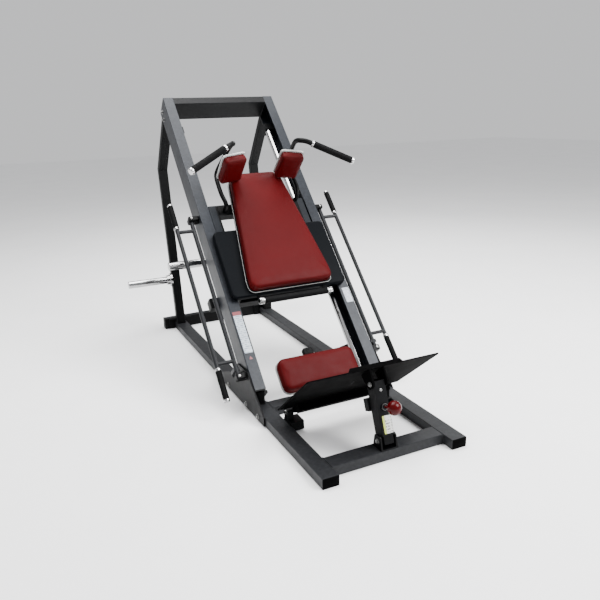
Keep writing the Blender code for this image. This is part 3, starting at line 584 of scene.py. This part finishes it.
def cushion(name, corners, z0, z1, matrix, body, cad, edge, crown, voxel, cap):
    """Foam pad on a board. corners run counter-clockwise in the pad's own plane, z is its thickness."""
    rings = []
    tuck = 0.0035
    for z, d in ((z0, tuck + 0.0015), (z0 + 0.003, tuck)):
        rings.append([(x, y, z) for x, y in rounded_outline(inset(corners, d + 0.001), 5)])
    for k in range(6):
        a = pi / 2 * k / 5
        d, z = tuck * 0.4 + edge * (1 - cos(a)), z1 - 0.0025 - edge * (1 - sin(a))
        rings.append([(x, y, z) for x, y in rounded_outline(inset(corners, d + 0.001), 5)])
    bm = loft(rings)
    bmesh.ops.recalc_face_normals(bm, faces=bm.faces[:])
    me = bpy.data.meshes.new(name)
    bm.to_mesh(me)
    bm.free()
    ob = bpy.data.objects.new(name, me)
    scene.collection.objects.link(ob)
    rm = ob.modifiers.new("remesh", "REMESH")
    rm.mode = "VOXEL"
    rm.voxel_size = voxel
    apply_mods(ob)
    relax(ob, 3, z0 + 0.002)
    simulate(ob, cap)
    relax(ob, 2, z0 + 0.002)
    # crown: the face rises gently towards the middle and rolls off at the rim
    xs = [v.co.x for v in ob.data.vertices]
    ys = [v.co.y for v in ob.data.vertices]
    cx, cy = (min(xs) + max(xs)) / 2, (min(ys) + max(ys)) / 2
    hx, hy = (max(xs) - min(xs)) / 2, (max(ys) - min(ys)) / 2
    top = max(v.co.z for v in ob.data.vertices)
    for v in ob.data.vertices:
        u, w = abs(v.co.x - cx) / hx, abs(v.co.y - cy) / hy
        g = max(0.0, (1 - u ** 2.6)) * max(0.0, (1 - w ** 2.6))
        t = max(0.0, min(1.0, (v.co.z - z0) / (top - z0)))
        v.co.z += crown * g * t - max(0.0, top - z1) * t
        v.co.z = max(v.co.z, z0)
    sub = ob.modifiers.new("sub", "SUBSURF")
    sub.levels = sub.render_levels = 1
    apply_mods(ob)
    ob.data.materials.clear()
    ob.data.materials.append(M["vinyl"])
    ob.data.shade_smooth()

    # sewn seam where the face panel meets the side panel
    tree = BVHTree.FromPolygons([v.co for v in ob.data.vertices], [list(p.vertices) for p in ob.data.polygons])
    line = rounded_outline(inset(corners, edge * 0.62), 8)
    pts = []
    for i, p in enumerate(line):
        q = Vector(line[(i + 1) % len(line)])
        p = Vector(p)
        steps = max(1, int((q - p).length / 0.010))
        pts += [p.lerp(q, k / steps) for k in range(steps)]
    on = []
    for p in pts:
        hit = tree.ray_cast(Vector((p.x, p.y, z1 + 0.1)), Vector((0, 0, -1)))
        if hit[0] is not None:
            on.append(hit[0] - hit[1] * 0.0004)
    seam = rope(on, 0.0010, 6, closed=True)
    stitches = []
    step = 0
    for i in range(len(on) - 1):
        a, b = on[i], on[i + 1]
        mid = (a + b) / 2
        inward = Vector((cx - mid.x, cy - mid.y, 0)).normalized() * 0.0045
        hit = tree.ray_cast(Vector((mid.x + inward.x, mid.y + inward.y, z1 + 0.1)), Vector((0, 0, -1)))
        if hit[0] is None:
            continue
        d = (b - a).normalized() * 0.0022
        c = hit[0] + hit[1] * 0.00005
        stitches.append(rope([c - d, c - d * 0.6 + hit[1] * 0.0003, c + d * 0.6 + hit[1] * 0.0003, c + d], 0.00045, 5))
    ob.data.transform(matrix)
    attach(ob, body)
    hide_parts(cad)
    put(name + "_seam", seam, matrix, M["welt"], body)
    put(name + "_stitching", join(stitches), matrix, M["welt"], body)
    return ob


BACK = [(-0.2500, 0.5150, 0.036), (0.2500, 0.5150, 0.036), (0.2500, 0.5900, 0.060),
        (0.1650, 1.2460, 0.050), (0.1230, 1.2900, 0.035), (-0.1230, 1.2900, 0.035),
        (-0.1650, 1.2460, 0.050), (-0.2500, 0.5900, 0.060)]
cushion("back_cushion", BACK, 0.0580, 0.1100, SLOPE, "carriage", "back_pad", 0.017, 0.0030, 0.0075, 0.0035)
# thin silver piping where the back cushion meets its board
piping = rounded_outline(inset(BACK, -0.0006), 8)
put("back_piping", rope([(x, y, 0.0572) for x, y in piping], 0.0013, 8, closed=True), SLOPE, M["pad_board"], "carriage")
SEAT = [(-0.225, -0.060, 0.040), (0.225, -0.060, 0.040), (0.225, 0.128, 0.040), (-0.225, 0.128, 0.040)]
cushion("seat_cushion", SEAT, -0.0100, 0.0500, SLOPE, "frame", "seat_pad", 0.017, 0.0030, 0.0060, 0.0022)
SHOULDER_W, SHOULDER_H = 0.136, 0.193
for side, tag in SIDES:
    w2, h2 = SHOULDER_W / 2, SHOULDER_H / 2
    sh = [(side * x, h, r) for x, h, r in ((-w2, -h2, 0.016), (w2, -h2, 0.022), (w2, h2, 0.022), (-w2, h2, 0.016))]
    if side < 0:
        sh = sh[::-1]
    # the cushion's own z looks down the incline: (x, h, z) -> (x, -z, h)
    spot = Matrix.Translation((side * 0.1760, 1.2270, 0.2095)) @ Matrix.Rotation(radians(-side * 9), 4, "Z")
    turn = SLOPE @ spot @ Matrix(((1, 0, 0, 0), (0, 0, -1, 0), (0, 1, 0, 0), (0, 0, 0, 1)))
    full = inset(sh, -0.0022)
    cushion("shoulder_cushion_" + tag, full, -0.0220, 0.0240, turn, "carriage", "shoulder_pad_" + tag,
            0.011, 0.0020, 0.0042, 0.0014)


# ---------------------------------------------------------- carriage tray panel
OUT = [(-0.345, 0.505, 0.030), (0.345, 0.505, 0.030), (0.345, 0.935, 0.030), (-0.345, 0.935, 0.030)]
rings = []
for d, z in ((0.0026, 0.0140), (0.0002, 0.0138)):
    rings.append([(x, y, z) for x, y in rounded_outline(inset(OUT, d), 6)])
for k in range(7):
    a = pi / 2 * k / 6
    rings.append([(x, y, 0.0450 - 0.011 * (1 - sin(a))) for x, y in
                  rounded_outline(inset(OUT, 0.0002 + 0.011 * (1 - cos(a))), 6)])
tray = loft(rings, close=False)
inner = [[(x, y, 0.0140) for x, y in rounded_outline(inset(OUT, 0.0026), 6)],
         [(x, y, 0.0400) for x, y in rounded_outline(inset(OUT, 0.0060), 6)]]
under = loft(inner, close=False)
for bm, z in ((tray, 0.0450), (under, 0.0400)):
    edge = [v for v in bm.verts if abs(v.co.z - z) < 1e-7]
    bmesh.ops.contextual_create(bm, geom=edge)
shell = join([tray, under])
bmesh.ops.remove_doubles(shell, verts=shell.verts[:], dist=0.00001)
put("carriage_tray", shell, SLOPE, M["panel_black"], "carriage", replaces=("carriage_panel",), smooth=30)


# ------------------------------------------------------------------- fasteners
def hex_bolt(size=0.0130, head=0.0060, washer=0.0115):
    """Hex head with a chamfered crown, stepped washer and a small dimple, along +Z."""
    r = size / sqrt(3)
    bm1 = bmesh.new()
    rings = []
    for z, k in ((0.0012, 1.0), (head - 0.0008, 1.0), (head, 0.86)):
        rings.append([bm1.verts.new((r * k * cos(pi / 3 * i + 0.3), r * k * sin(pi / 3 * i + 0.3), z)) for i in range(6)])
    for a, b in zip(rings, rings[1:]):
        for i in range(6):
            bm1.faces.new((a[i], a[(i + 1) % 6], b[(i + 1) % 6], b[i]))
    bm1.faces.new(rings[0][::-1])
    bm1.faces.new(rings[-1])
    crown = lathe([(head - 0.0006, size * 0.42), (head + 0.0002, size * 0.40), (head + 0.0002, size * 0.20),
                   (head - 0.0003, size * 0.16)], (0, 0, 0), (0, 0, 1), 20)
    plate = lathe([(0.0, washer), (0.0010, washer), (0.0014, washer - 0.0006), (0.0014, 0.004)], (0, 0, 0), (0, 0, 1), 24)
    return join([bm1, crown, plate])


def dome_bolt(r=0.0095, h=0.0048):
    """Button head with a shallow round socket, along +Z."""
    prof = [(0.0, r)] + [(h * sin(pi / 2 * k / 6), r * (0.35 + 0.65 * cos(pi / 2 * k / 6))) for k in range(1, 7)]
    prof += [(h, r * 0.34), (h - 0.0016, r * 0.32)]
    return lathe(prof, (0, 0, 0), (0, 0, 1), 24)


def aim(matrix, pos, direction):
    q = Vector(direction).to_track_quat("Z", "Y").to_matrix().to_4x4()
    return matrix @ Matrix.Translation(pos) @ q


def bolt(name, matrix, pos, direction, body, kind="hex", **kw):
    bm = hex_bolt(**kw) if kind == "hex" else dome_bolt(**kw)
    return put(name, bm, aim(matrix, pos, direction), M["zinc"], body, smooth=30)


for side, tag in SIDES:
    for k, (y, z) in enumerate(((0.845, 0.027), (0.681, 0.027), (1.120, 0.027))):
        bolt("gusset_bolt_%s_%d" % (tag, k + 1), DATUM, (side * 0.3783, y, z), (side, 0, 0), "frame",
             size=0.0170, head=0.0080, washer=0.0135)
    for k, (s, h) in enumerate(((1.954, -0.090), (1.905, -0.106))):
        bolt("post_bolt_%s_%d" % (tag, k + 1), SLOPE, (side * 0.3695, s, h), (side, 0, 0), "frame",
             size=0.0170, head=0.0090, washer=0.0140)
    for k, s in enumerate((0.640, 0.790)):
        bolt("bearing_bolt_%s_%d" % (tag, k + 1), SLOPE, (side * 0.3420, s, -0.0935), (side, 0, 0), "carriage",
             "dome", r=0.0085)
    for k, s in enumerate((0.985, 1.010)):
        bolt("crossbar_bolt_%s_%d" % (tag, k + 1), SLOPE, (side * 0.3020, s, -0.0280), (side, 0, 0), "carriage",
             size=0.0130, head=0.0070, washer=0.0110)
    bolt("hinge_bolt_" + tag, DATUM, (side * 0.2882, 0.530, 0.098), (side, 0, 0), "footplate",
         size=0.0170, head=0.0076, washer=0.0130)
    bolt("strut_top_bolt_" + tag, DATUM, (side * 0.0395, 0.16765, 0.33065), (side, 0, 0), "footplate",
         size=0.0170, head=0.0080, washer=0.0125)
    bolt("strut_base_bolt_" + tag, DATUM, (side * 0.0425, 0.100, 0.085), (side, 0, 0), "frame",
         size=0.0170, head=0.0080, washer=0.0125)
    for name, s, dirn in (("lower", 0.1030, 1), ("upper", 1.0860, 1)):
        bolt("safety_pivot_bolt_%s_%s" % (name, tag), SLOPE, (side * 0.4130, s, -0.0500 + (0.0240 if name == "lower" else 0.0260)),
             (0, 0, 1), "frame", "dome", r=0.0080)
bolt("strut_face_bolt", STRUT, (0.0, -0.0325, 0.2220), (0, -1, 0), "strut_outer", "dome", r=0.0075)

# plunger body behind the red ball
nut = lathe([(0.0, 0.0150), (0.0030, 0.0150), (0.0034, 0.0128), (0.0150, 0.0128), (0.0165, 0.0110), (0.0165, 0.0060)],
            (0, -0.0450, 0.1470), (0, 1, 0), 28)
put("plunger_sleeve", nut, STRUT, M["zinc"], "strut_outer")


# --------------------------------------------------------------- grips and caps
def rod_matrix(a, b):
    a, b = Vector(a), Vector(b)
    return Matrix.Translation(a) @ (b - a).to_track_quat("Z", "Y").to_matrix().to_4x4(), (b - a).length


def grip(name, matrix, length, r_in, r_out, body, cad, pitch=0.0042, depth=0.0007):
    """Moulded grip sleeve with fine rings and rolled ends."""
    n = max(4, int((length - 0.010) / pitch))
    outer = [(0.0, r_out - 0.0018), (0.0008, r_out - 0.0006), (0.0025, r_out), (0.0048, r_out)]
    for k in range(n):
        t = 0.005 + (length - 0.010) * k / n
        w = (length - 0.010) / n
        outer += [(t + w * 0.10, r_out), (t + w * 0.34, r_out - depth), (t + w * 0.58, r_out - depth), (t + w * 0.82, r_out)]
    outer += [(length - 0.0048, r_out), (length - 0.0025, r_out), (length - 0.0008, r_out - 0.0006),
              (length, r_out - 0.0018)]
    prof = outer + [(length, r_in), (0.0, r_in)]
    return put(name, lathe(prof, (0, 0, 0), (0, 0, 1), 28, closed=True), matrix, M["rubber"], body,
               replaces=cad, smooth=40)


def collar(name, matrix, t0, t1, r, body, bore=None, cap=False):
    """Polished ring, or an end cap with a domed face."""
    e = 0.0014
    if cap:
        prof = [(t0, r - e), (t0 + e, r), (t1 - 0.0045, r), (t1 - 0.0020, r - 0.0012), (t1 - 0.0004, r - 0.0042),
                (t1, r * 0.5)]
        bm = lathe(prof, (0, 0, 0), (0, 0, 1), 32)
    else:
        prof = [(t0, r - e), (t0 + e * 0.6, r - e * 0.25), (t0 + e * 1.6, r), (t1 - e * 1.6, r),
                (t1 - e * 0.6, r - e * 0.25), (t1, r - e), (t1, bore), (t0, bore)]
        bm = lathe(prof, (0, 0, 0), (0, 0, 1), 32, closed=True)
    return put(name, bm, matrix, M["chrome"], body, smooth=40)


for side, tag in SIDES:
    mat, length = rod_matrix((side * 0.2560, 1.2210, 0.4035), (side * 0.4840, 1.0880, 0.3870))
    m = SLOPE @ mat
    grip("shoulder_grip_" + tag, m @ Matrix.Translation((0, 0, 0.0130)), length - 0.0290, 0.0127, 0.0192, "carriage",
         ("handle_grip_" + tag,))
    collar("shoulder_grip_ring_" + tag, m, 0.0000, 0.0126, 0.0190, "carriage", bore=0.0124)
    collar("shoulder_grip_cap_" + tag, m, length - 0.0155, length + 0.0006, 0.0200, "carriage", cap=True)
    off = side * 0.095
    for name, s0, s1 in (("lower", 0.0026, 0.1570), ("upper", 1.0456, 1.1928)):
        mm = SAFE[side] @ Matrix.Translation((off, s0, 0)) @ Matrix.Rotation(radians(-90), 4, "X")
        grip("safety_hand_grip_%s_%s" % (name, tag), mm, s1 - s0, 0.0107, 0.0164, "safety_" + tag,
             ("safety_grip_%s_%s" % (name, tag),))
    base = SAFE[side] @ Matrix.Translation((off, 0, 0)) @ Matrix.Rotation(radians(-90), 4, "X")
    flip = SAFE[side] @ Matrix.Translation((off, 0, 0)) @ Matrix.Rotation(radians(90), 4, "X")
    collar("safety_cap_lower_" + tag, flip, -0.0024, 0.0124, 0.0161, "safety_" + tag, cap=True)
    collar("safety_ring_lower_" + tag, base, 0.1572, 0.1714, 0.0161, "safety_" + tag, bore=0.0114)
    collar("safety_ring_upper_" + tag, base, 1.0314, 1.0454, 0.0161, "safety_" + tag, bore=0.0114)
    collar("safety_cap_upper_" + tag, base, 1.1931, 1.2054, 0.0161, "safety_" + tag, cap=True)

    # black plastic plugs in the rail ends
    x0, x1 = sorted((side * 0.290, side * 0.370))
    plug = [(x0 + 0.0006, 0.0006, 0.005), (x1 - 0.0006, 0.0006, 0.005), (x1 - 0.0006, 0.0494, 0.005), (x0 + 0.0006, 0.0494, 0.005)]
    # own z looks forward: (x, z_up, depth) -> (x, -depth, z_up)
    fwd = Matrix(((1, 0, 0, 0), (0, 0, -1, 0), (0, 1, 0, 0), (0, 0, 0, 1)))
    face = slab(plug, -0.0120, 0.0008, 0.0020, 4, 3, both=False)
    core = [(x0 + 0.0120, 0.0120, 0.004), (x1 - 0.0120, 0.0120, 0.004), (x1 - 0.0120, 0.0380, 0.004), (x0 + 0.0120, 0.0380, 0.004)]
    put("rail_plug_" + tag, join([face, slab(core, 0.0002, 0.0012, 0.0004, 3, 2, both=False)]),
        DATUM @ fwd, M["plate_black"], "frame")
    # top plug of the upright
    u0, u1 = sorted((side * 0.3075, side * 0.3695))
    up = [(u0 + 0.0004, -0.1396, 0.003), (u1 - 0.0004, -0.1396, 0.003), (u1 - 0.0004, -0.0004, 0.003), (u0 + 0.0004, -0.0004, 0.003)]
    along = Matrix(((1, 0, 0, 0), (0, 0, 1, 0), (0, -1, 0, 0), (0, 0, 0, 1)))
    up = [(x, -h, r) for x, h, r in up][::-1]
    put("upright_cap_" + tag, slab(up, 1.9820, 1.9886, 0.0012, 3, 2, both=False), SLOPE @ along, M["upright_grey"],
        "frame")

# plugs of the rear beam
for x, s, tag in ((-0.440, -1, "left"), (0.372, 1, "right")):
    q = [(2.3106, 0.0006, 0.005), (2.3694, 0.0006, 0.005), (2.3694, 0.0754, 0.005), (2.3106, 0.0754, 0.005)]
    if s > 0:
        mt = Matrix(((0, 0, 1, x), (1, 0, 0, 0), (0, 1, 0, 0), (0, 0, 0, 1)))
        pts = q
    else:
        mt = Matrix(((0, 0, -1, x), (-1, 0, 0, 0), (0, 1, 0, 0), (0, 0, 0, 1)))
        pts = [(-y, z, r) for y, z, r in q][::-1]
    put("rear_beam_plug_" + tag, slab(pts, -0.0100, 0.0008, 0.0020, 4, 3, both=False), DATUM @ mt, M["plastic"],
        "frame")

# chrome ends of the grab bar along the carriage's lower edge
gb = SLOPE @ Matrix.Translation((-0.220, 0.4540, 0.0690)) @ Matrix.Rotation(radians(90), 4, "Y")
for tag, t0, t1 in (("left", -0.0006, 0.0186), ("right", 0.4214, 0.4406)):
    if tag == "left":
        mm = SLOPE @ Matrix.Translation((-0.220, 0.4540, 0.0690)) @ Matrix.Rotation(radians(-90), 4, "Y")
        collar("grip_bar_cap_" + tag, mm, -0.0186, 0.0004, 0.0186, "carriage", cap=True)
    else:
        collar("grip_bar_cap_" + tag, gb, 0.4214, 0.4404, 0.0186, "carriage", cap=True)
for tag, t0, t1 in (("left", 0.0188, 0.0300), ("right", 0.4100, 0.4212)):
    collar("grip_bar_ring_" + tag, gb, t0, t1, 0.0171, "carriage", bore=0.0160)

# bump stop behind the seat cushion
bump = slab([(-0.046, 0.1290, 0.010), (0.014, 0.1290, 0.010), (0.014, 0.1700, 0.014), (-0.046, 0.1700, 0.014)],
            -0.0220, 0.0060, 0.0070, 4, 4)
put("seat_bump_stop", bump, SLOPE, M["plastic"], "frame")
ring = lathe([(0.0, 0.0100), (0.0020, 0.0110), (0.0032, 0.0100), (0.0034, 0.0060), (0.0010, 0.0055)], (-0.016, 0.150, 0.0056),
             (0, 0, 1), 24)
put("seat_bump_washer", ring, SLOPE, M["plastic"], "frame")


# ------------------------------------------------------------------ weld beads
def bead(name, matrix, corners, body, mat, r=0.0026):
    """Rippled fillet weld along a polyline."""
    pts, radii = [], []
    for a, b in zip(corners, corners[1:]):
        a, b = Vector(a), Vector(b)
        n = max(2, int((b - a).length / 0.0016))
        for k in range(n):
            pts.append(a.lerp(b, k / n))
    pts.append(Vector(corners[-1]))
    for k in range(len(pts)):
        radii.append(r * (0.86 + 0.20 * abs(sin(k * 1.05))))
    return put(name, rope(pts, radii, 7), matrix, mat, body, smooth=70)


for side, tag in SIDES:
    x = side * 0.2893
    for name, (y0, y1) in (("front", (0.063, 0.150)), ("middle", (0.690, 0.772))):
        bead("%s_beam_weld_%s" % (name, tag), DATUM, [(x, y0 - 0.0004, 0.004), (x, y0 - 0.0004, 0.0496), (x, y1 + 0.0004, 0.0496),
                                                     (x, y1 + 0.0004, 0.004)], "frame", M["frame_grey"], 0.0022)
    x = side * 0.3068
    bead("top_beam_weld_" + tag, SLOPE, [(x, 1.9346, -0.136), (x, 1.9346, -0.0006), (x, 1.9860, -0.0006)], "frame",
         M["frame_grey"], 0.0022)
    x = side * 0.3087
    bead("upright_foot_weld_" + tag, DATUM, [(side * 0.3500, 0.7456, 0.0520), (side * 0.3100, 0.7456, 0.0520),
                                            (side * 0.3096, 0.8180, 0.0520)], "frame", M["satin_black"], 0.0026)
    bead("horn_weld_" + tag, SLOPE, [(side * 0.2628, 0.946 + 0.0368 * cos(a), -0.300 + 0.0368 * sin(a))
                                     for a in [2 * pi * k / 28 for k in range(29)]], "carriage", M["satin_black"], 0.0022)
    bead("strut_lug_weld_" + tag, FOOT, [(side * 0.0402, -0.300, 0.0076), (side * 0.0402, -0.255, 0.0076)], "footplate",
         M["satin_black"], 0.0020)


# ---------------------------------------------------------------- blank decals
def decal(name, matrix, x0, x1, s0, s1, lift, mat, body, radius=0.003, thick=0.0003):
    pts = [(x0, s0, radius), (x1, s0, radius), (x1, s1, radius), (x0, s1, radius)]
    bm = slab(pts, lift, lift + thick, 0.0001, 4, 1, both=False)
    ob = put(name, bm, matrix, mat, body, smooth=30)
    return ob


pale = sticker("pale_label", (0.40, 0.45, 0.50), (0.09, 0.12, 0.17), 90.0, SLOPE, 1)
pale2 = sticker("pale_label_small", (0.36, 0.40, 0.45), (0.10, 0.13, 0.18), 110.0, SLOPE, 1)
red = tinted("label_red", (0.16, 0.008, 0.016))
decal("left_label", SLOPE, -0.3600, -0.3145, 0.205, 0.425, 0.00005, pale, "frame")
decal("left_label_band", SLOPE, -0.3600, -0.3145, 0.426, 0.447, 0.00005, red, "frame")
decal("right_label", SLOPE, 0.3225, 0.3640, 0.392, 0.486, 0.00005, pale2, "frame")
tri = [(-0.3460, 0.168, 0.002), (-0.3260, 0.168, 0.002), (-0.3360, 0.187, 0.002)]
put("left_triangle_mark", slab(tri, 0.00005, 0.00035, 0.0001, 3, 1, both=False), SLOPE, red, "frame", smooth=30)
strut_face = Matrix(((1, 0, 0, 0), (0, 0, -1, 0), (0, 1, 0, 0), (0, 0, 0, 1)))
white = sticker("strut_label", (0.55, 0.55, 0.53), (0.006, 0.006, 0.007), 80.0, STRUT, 2)
lime = tinted("label_lime", (0.46, 0.52, 0.10))
decal("strut_label", STRUT @ strut_face, -0.0060, 0.0270, 0.0290, 0.1080, 0.03255, white, "strut_outer", 0.002)
decal("strut_label_band", STRUT @ strut_face, -0.0170, -0.0065, 0.0290, 0.1080, 0.03255, lime, "strut_outer", 0.002)

# ------------------------------------------------------- floor, lights, camera
floor_mat = Nodes("pale_floor", (0.80, 0.80, 0.80), 0.75, 0.0)
floor_mat.colour(floor_mat.mix(floor_mat.range(floor_mat.noise(1.4, 5, 0.6), 0.0, 1.0, 0.3, 0.7), (0.90, 0.90, 0.905), (0.94, 0.94, 0.94)))
floor_mat.bump(floor_mat.noise(9, 4, 0.55), 0.25, 0.01)
bm = bmesh.new()
bmesh.ops.create_grid(bm, x_segments=8, y_segments=8, size=22.0)
me = bpy.data.meshes.new("studio_floor")
bm.to_mesh(me)
bm.free()
floor = bpy.data.objects.new("studio_floor", me)
floor.location = (0, 0, -0.0005)
me.materials.append(floor_mat.mat)
scene.collection.objects.link(floor)

world = bpy.data.worlds.new("studio")
scene.world = world
world.use_nodes = True
bg = world.node_tree.nodes["Background"]
bg.inputs["Color"].default_value = (0.93, 0.935, 0.95, 1)
bg.inputs["Strength"].default_value = 0.80


def area(name, pos, target, size, power, colour=(1, 1, 1)):
    light = bpy.data.lights.new(name, "AREA")
    light.shape = "RECTANGLE"
    light.size, light.size_y = size
    light.energy = power
    light.color = colour
    ob = bpy.data.objects.new(name, light)
    ob.location = pos
    ob.rotation_mode = "QUATERNION"
    ob.rotation_quaternion = (Vector(target) - Vector(pos)).to_track_quat("-Z", "Y")
    scene.collection.objects.link(ob)
    return ob


area("key_softbox", (2.6, -3.2, 4.2), (0, 0, 0.6), (3.0, 3.0), 680)
area("top_softbox", (-0.4, 0.6, 4.8), (0, 0.1, 0.4), (4.0, 3.0), 500)
area("rear_softbox", (3.2, 3.0, 3.2), (0, 0.2, 0.9), (2.5, 2.0), 60)

yaw, pitch, roll = radians(25.26), radians(16.60), radians(-1.68)
fw = Vector((sin(yaw) * cos(pitch), cos(yaw) * cos(pitch), -sin(pitch)))
right = Vector((cos(yaw), -sin(yaw), 0))
up = right.cross(fw)
r2 = right * cos(roll) + up * sin(roll)
u2 = up * cos(roll) - right * sin(roll)
cam_data = bpy.data.cameras.new("camera")
cam_data.sensor_width = 36.0
cam_data.lens = 620.6 / 600 * 36.0
cam_data.shift_x = -0.0008
cam_data.shift_y = -0.0032
cam = bpy.data.objects.new("camera", cam_data)
cam.matrix_world = Matrix(((r2.x, u2.x, -fw.x, -1.370), (r2.y, u2.y, -fw.y, -1.963 + Y0), (r2.z, u2.z, -fw.z, 1.478), (0, 0, 0, 1)))
scene.collection.objects.link(cam)
scene.camera = cam
